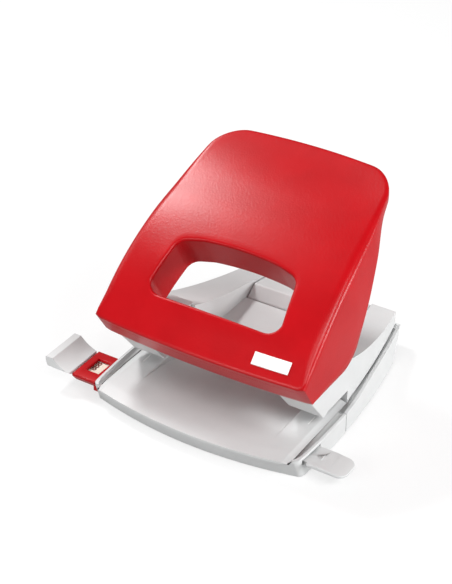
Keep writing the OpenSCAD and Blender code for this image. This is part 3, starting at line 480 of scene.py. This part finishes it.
# Lengthwise profile of the face: straight, bend, straight
handle_half = 48.7
lip_y, lip_z = -30.2, 42.0
lip_foot_y, panel_z = -22.7, 31.0
lip_bow = 2.5
front_a, grip_a = math.radians(45), math.radians(21)
bend_r = 130
face_run = 9
bend_y0 = lip_y + face_run * math.cos(front_a)
bend_z0 = lip_z + face_run * math.sin(front_a)
bend_cy = bend_y0 + bend_r * math.sin(front_a)
bend_cz = bend_z0 - bend_r * math.cos(front_a)
bend_y1 = bend_cy - bend_r * math.sin(grip_a)
bend_z1 = bend_cz + bend_r * math.cos(grip_a)
grip_reach, grip_round, grip_bow, grip_rim = 60.5, 12.0, 5.8, 4.0
face_crown = 1.6
side_bow_r, lean_z = 180, 45
taper_y, taper = 12, math.tan(math.radians(2.0))
panel_rear_y, panel_rear_a, panel_rear_r = 9.2, math.radians(59.3), 14
shell_wall, side_wall = 2.4, 2.0
rim_blend = 18
lip_fade, grip_fade = 32, 40  # lengths over which the bows of the lip and of the grip's end run out
crown_rise, crown_fade = 25, 30


def face_z(y):
    """Height of the face along its middle."""
    if y < bend_y0:
        return lip_z + (y - lip_y) * math.tan(front_a)
    if y < bend_y1:
        return bend_cz + math.sqrt(bend_r ** 2 - (y - bend_cy) ** 2)
    return bend_z1 + (y - bend_y1) * math.tan(grip_a)


def half_width(z, y):
    """Half width of the handle at a height and a place along it."""
    corner = min(1, max(0, (y - grip_reach + grip_round) / grip_round))
    return (handle_half - max(0, z - lean_z) ** 2 / (2 * side_bow_r) - max(0, y - taper_y) * taper
            - grip_round * (1 - math.sqrt(max(0, 1 - corner * corner))))


def lower_z(y):
    """Height of the side panel's lower edge: level, a round corner, then up to the grip's rim."""
    reach = panel_rear_r * math.tan(panel_rear_a / 2)
    if y < panel_rear_y - reach:
        z = panel_z
    elif y < panel_rear_y + reach * math.cos(panel_rear_a):
        z = panel_z + panel_rear_r - math.sqrt(panel_rear_r ** 2 - (y - panel_rear_y + reach) ** 2)
    else:
        z = panel_z + (y - panel_rear_y) * math.tan(panel_rear_a)
    rim_z = face_z(y) - grip_rim
    near = max(0, 1 - abs(z - rim_z) / rim_blend)
    return min(z, rim_z) - near * near * rim_blend / 4


def bowed(x, s):
    """Place along Y of the face's point (x, s): the lip and the grip end bow out in the middle."""
    across = 1 - (x / handle_half) ** 2
    return (s - lip_bow * across * (1 - ease(s, lip_foot_y, lip_foot_y + lip_fade))
            - grip_bow * (1 - across) * ease(s, grip_reach - grip_fade, grip_reach))


def on_face(x, s):
    """The face's point at x across and s along, with its slight crown."""
    crown = face_crown * ease(s, lip_y, lip_y + crown_rise)
    crown *= 1 - ease(s, grip_reach - crown_fade, grip_reach)
    return Vector((x, bowed(x, s), face_z(s) + crown * (1 - (x / handle_half) ** 2)))


# Outline of the face in (x, s), as three stretches of its right half
front_steps, side_steps, rear_steps = 22, 44, 24
lip_round = 2.2
lip_half = half_width(lip_z, lip_y)
lip_flat = lip_half - lip_round
side_start, side_end = lip_y + 3, grip_reach - grip_round


def low_corner(wide, low, r, degrees):
    """Points of a rounded lower right corner, at turns in degrees from its lower end."""
    turns = [math.radians(d) for d in degrees]
    return [(wide - r + r * math.sin(a), low + r - r * math.cos(a)) for a in turns]


front_line = [(0, lip_y), (lip_flat, lip_y)] + low_corner(lip_half, lip_y, lip_round, (15, 30, 45))
side_line = [front_line[-1]] + low_corner(lip_half, lip_y, lip_round, (60, 75, 90))
side_line += [(half_width(face_z(s), s), s) for s in steps(side_start, side_end, 40) + [side_end]]
corner = [(half_width(face_z(s), s), s) for s in
          (side_end + grip_round * math.sin(math.radians(3 * i)) for i in range(1, 31))]
side_line += corner[:15]
rear_line = corner[14:] + [(0, grip_reach)]


def whole_ring(front, side, rear):
    """Joins three stretches of the right half and their mirror image to one closed ring of points."""
    half = (resample(front, front_steps)[:-1] + resample(side, side_steps)[:-1] + resample(rear, rear_steps))
    return half + [(-x, s) for x, s in half[-2:0:-1]]


outline = whole_ring(front_line, side_line, rear_line)
ring_count = len(outline)

# Outline of the window, in its own plane that leans with the face
window_half, window_h, window_round, window_arch = 30.3, 28.4, 6.0, 2.4
window_draw, arch_sink = 2.2, 0.2  # how much narrower the window is at its top, and its arch's ends lower
window_y, window_a, window_depth = -7.96, math.radians(30.9), 18
window_z = face_z(window_y) + face_crown / 2
along = Vector((0, math.cos(window_a), math.sin(window_a)))
inward = Vector((0, math.sin(window_a), -math.cos(window_a)))


def window_ring(grow_by):
    """Ring of the window's edge in (x, v), grown by a distance: straight sill, arched top."""
    low, high = -window_h / 2 - grow_by, window_h / 2 - window_arch + grow_by
    wide, slim, r = window_half + grow_by, window_half - window_draw + grow_by, window_round + grow_by
    sill = [(0, low), (wide - r, low)] + low_corner(wide, low, r, (9, 18, 27, 36, 45))
    jamb = [sill[-1]] + low_corner(wide, low, r, (54, 63, 72, 81))
    top = [(slim - r + r * math.cos(a), high - r + r * math.sin(a))
           for a in (math.radians(5 + 9 * i) for i in range(8))]
    jamb += top[:5]
    arch = top[4:] + [(slim * t, high + window_arch * (1 - t * t) - arch_sink * t) for t in
                      (0.62, 0.5, 0.4, 0.3, 0.2, 0.1, 0)]
    return whole_ring(sill, jamb, arch)


def along_face(x, v):
    """The s at which the face's point at x stands v along the window's plane."""
    low, high = lip_y, grip_reach
    for _ in range(40):
        middle = (low + high) / 2
        point = on_face(x, middle) - Vector((0, window_y, window_z))
        if point.dot(along) < v:
            low = middle
        else:
            high = middle
    return low


level_y = 42  # behind it, the side's foot stands straight below its top
lip_edge, side_edge, edge_growth, grip_edge_less = 0.9, 3.3, 0.3, 1.4
edge_y0, edge_y1 = 14, 50  # between them the edge gets tighter towards the grip
front_end = lip_y + 0.5


def side_foot(x, s):
    """Lower edge of the side below an outline point, and how far the panel's top edge is rounded."""
    if s < front_end and abs(x) < lip_flat:
        return Vector((x, bowed(x, lip_foot_y), panel_z)), lip_edge
    wide = min(side_edge, lip_edge + (s - lip_y) * edge_growth) - grip_edge_less * ease(s, edge_y0, edge_y1)
    if s > level_y:
        point = on_face(x, s)
        return Vector((x, point.y, min(lower_z(s), point.z - grip_rim))), wide
    y = lip_foot_y + (s - lip_y) * (level_y - lip_foot_y) / (level_y - lip_y)
    return Vector((x, bowed(x, y), lower_z(y))), wide


def between(a, b, t):
    """The point t of the way from a to b."""
    return a + (b - a) * t


def turned(a, corner, b, t):
    """A point on the round between a and b about a corner."""
    return between(between(a, corner, t), between(corner, b, t), t)


rim_round = 1.3
edge_spread = 1.15  # the rounding reaches further along the face than down the side
edge_ring = [(x, along_face(x, v)) for x, v in window_ring(0)]
lip_ring = [(x, along_face(x, v)) for x, v in window_ring(rim_round)]
collar_ring = [(x, along_face(x, v)) for x, v in window_ring(shell_wall)]
tops = [on_face(x, s) for x, s in outline]
feet = [side_foot(x, s) for x, s in outline]


def square_in(i):
    """Direction in (x, s) that leads square away from the outline, towards the window."""
    (ax, a), (bx, b) = outline[i - 1], outline[(i + 1) % ring_count]
    span = math.dist((ax, a), (bx, b))
    return (a - b) / span, (bx - ax) / span


def face_inner_edge(i):
    """The outline drawn in along the face by the edge's rounding, in (x, s)."""
    x, s = outline[i]
    dx, ds = square_in(i)
    part = feet[i][1] * edge_spread
    return x + dx * part, s + ds * part


inner_edge = [face_inner_edge(i) for i in range(ring_count)]
lean_fade_y = 30  # the side's lean fades out from here to the grip's corner


def side_point(i, t):
    """A point of the outer side, t of the way from its top edge to its foot."""
    point = between(tops[i], feet[i][0], t)
    x, s = outline[i]
    if s > front_end or abs(x) > lip_flat - 0.1:
        lean = 1 - ease(s, lean_fade_y, side_end)
        point.x += (math.copysign(half_width(point.z, point.y), x) - x) * lean
    return point


def wall_inside(point, i):
    """The same place on the inner side of the shell's wall."""
    dx, ds = square_in(i)
    return point + Vector((dx * side_wall, ds * side_wall, 0))


rings = []
for t in (1.0, 0.75, 0.5, 0.25, 0.12):
    rings.append([on_face(*p) + inward * (window_depth * t) for p in edge_ring])
for t in (0.0, 0.25, 0.5, 0.75, 1.0):
    rings.append([turned(on_face(*a) + inward * rim_round, on_face(*a), on_face(*b), t)
                  for a, b in zip(edge_ring, lip_ring)])
face_rings, edge_rings, side_rings, roof_rings = 26, 10, 10, 12
foot_t = 0.985  # where the side turns into its rounded foot
for k in range(1, face_rings + 1):
    t = k / face_rings
    rings.append([on_face(a[0] + (b[0] - a[0]) * t, a[1] + (b[1] - a[1]) * t)
                  for a, b in zip(lip_ring, inner_edge)])
edge_limit = 0.45
side_starts = [min(edge_limit, wide / max((top - foot).length, 0.1))
               for top, (foot, wide) in zip(tops, feet)]
for k in range(1, edge_rings + 1):
    t = k / edge_rings
    rings.append([turned(on_face(*inner_edge[i]), tops[i], side_point(i, side_starts[i]), t)
                  for i in range(ring_count)])
for k in range(1, side_rings + 1):
    t = k / side_rings
    rings.append([side_point(i, side_starts[i] + (foot_t - side_starts[i]) * t) for i in range(ring_count)])
for t in (0.12, 0.5, 0.88):
    rings.append([between(side_point(i, 1), wall_inside(side_point(i, 1), i), t) for i in range(ring_count)])
for t in (foot_t, 0.85, 0.7, 0.5, 0.3):
    rings.append([wall_inside(side_point(i, t), i) for i in range(ring_count)])
upright_share = 1.25  # a sloping wall measures more straight down
under = Vector((0, 0, -shell_wall * upright_share))
for k in range(roof_rings + 1):
    t = k / roof_rings
    rings.append([between(wall_inside(tops[i], i) + under, on_face(*collar_ring[i]) + under, t)
                  for i in range(ring_count)])
for t in (0.4, 0.7, foot_t):
    rings.append([on_face(*p) + inward * (window_depth * t) for p in collar_ring])
rings.append([between(on_face(*a), on_face(*b), 0.85) + inward * window_depth
              for a, b in zip(edge_ring, collar_ring)])
rings.append(rings[0])
bm = bmesh.new()
ring = start_ring(bm, rings[0])
for points in rings[1:]:
    ring = grow(bm, ring, points)
bmesh.ops.remove_doubles(bm, verts=bm.verts[:], dist=0.002 * mm)
bmesh.ops.recalc_face_normals(bm, faces=bm.faces[:])
red_abs = moulded_abs("red_grained_abs", ("#ad000a", "#b4020d"), 0.3, cell=0.8, depth=0.04, shine=0.22)
place_piece(bm, "handle_cover", red_abs, "handle", ["handle_shell"], smooth_a=40)

# Label: a strip of white film stuck on the face near the right end of the lip. It is left bare, and
# its corners are slightly rounded.
label_x0, label_x1, label_s0, label_s1 = 24.9, 40.5, -26.95, -23.55
label_t, label_gap, label_round = 0.35, 0.08, 0.6
label_columns, label_rows = 16, 6
lift = Vector((0, -math.sin(front_a), math.cos(front_a)))
bm = bmesh.new()
bmesh.ops.create_grid(bm, x_segments=label_columns, y_segments=label_rows, size=1)
for vert in bm.verts:
    x = label_x0 + (label_x1 - label_x0) * (vert.co.x + 1) / 2
    s = label_s0 + (label_s1 - label_s0) * (vert.co.y + 1) / 2
    vert.co = (on_face(x, s) + lift * (label_gap + label_t)) * mm
bmesh.ops.solidify(bm, geom=bm.faces[:], thickness=label_t * mm)
bmesh.ops.recalc_face_normals(bm, faces=bm.faces[:])
corners = [e for e in bm.edges if e.is_manifold and e.calc_face_angle() > math.radians(60)
           and abs((e.verts[0].co - e.verts[1].co).normalized().dot(lift)) > 0.8]
bmesh.ops.bevel(bm, geom=corners, offset=label_round * mm, affect="EDGES", segments=4, profile=0.5,
                material=-1)
place_piece(bm, "bare_label", film_and_highlight, "handle", ["label_plate"])

# Guide rail: a flat grey ABS strip that slides through the tub under the table, against a steel leaf
# spring. Its right end is the thumb tab.
bm = merged_copy("guide_rail")
tab_x = 51.5
round_edges(bm, 0.35, lambda p: p.x > tab_x)
place_piece(bm, "guide_strip", grey_abs, "guide", ["guide_rail"])
finish_node("guide_spring", spring_wire)

# Guide stop: the grey paddle at the left end of the strip, against which the sheet's edge is laid.
# Its hollow face leads the sheet down on the strip.
bm = merged_copy("guide_stop")
brow_z, heel_x = 8.2, -63
round_edges(bm, 0.5, lambda p: p.z > brow_z or p.x < heel_x)
place_piece(bm, "guide_paddle", grey_abs, "guide", ["guide_stop"])

# Format sleeve: the red ABS bridge on the tub's left side that the strip slides through. The format
# that is set shows in its window.
bm = merged_copy("format_window")
bridge_z, neck_x = 8.9, -50.5
round_edges(bm, 0.3, lambda p: p.z > bridge_z and p.x < neck_x)
place_piece(bm, "format_sleeve", red_abs, "base", ["format_window"])

# Format scale: a cream paper strip glued on the guide strip, printed with the sheet formats in dark
# red. The paper shows soft fibres, and the ink has soaked in unevenly.
cream = mottled("printed_paper", ("#e2d6c3", "#efe6d8"), 0.7, 1.5, spot=0.6, detail=6,
                depth=0.02, strength=0.4)
finish_node("format_scale", cream)
ink = mottled("dark_red_ink", ("#4a1210", "#7a241c"), 0.6, 1.5, spot=0.4, detail=4)
digit_h, type_size, ink_t, stroke = 2.9, 1.4, 0.02, 0.13
print_y, strip_top = -21.0, 7.9
formats = {"888": -56.0, "A5": -19.2, "A4": 24.3}
for word, x in formats.items():
    lettering = bpy.data.curves.new("print_" + word, "FONT")
    lettering.body = word
    lettering.size = digit_h * type_size * mm
    lettering.align_x = "CENTER"
    lettering.align_y = "CENTER"
    lettering.extrude = ink_t * mm
    lettering.offset = stroke * mm
    stand = bpy.data.objects.new("print_" + word, lettering)
    bpy.context.collection.objects.link(stand)
    mesh = bpy.data.meshes.new_from_object(stand)
    bpy.data.objects.remove(stand)
    bm = bmesh.new()
    bm.from_mesh(mesh)
    bpy.data.meshes.remove(mesh)
    bmesh.ops.remove_doubles(bm, verts=bm.verts[:], dist=0.0005 * mm)
    middle = Vector((x, print_y, strip_top + ink_t)) * mm
    turn = Matrix.Translation(middle) @ Matrix.Rotation(math.pi / 2, 4, "Z")
    bmesh.ops.transform(bm, matrix=turn, verts=bm.verts[:])
    place_piece(bm, "printed_" + word, ink, "guide")
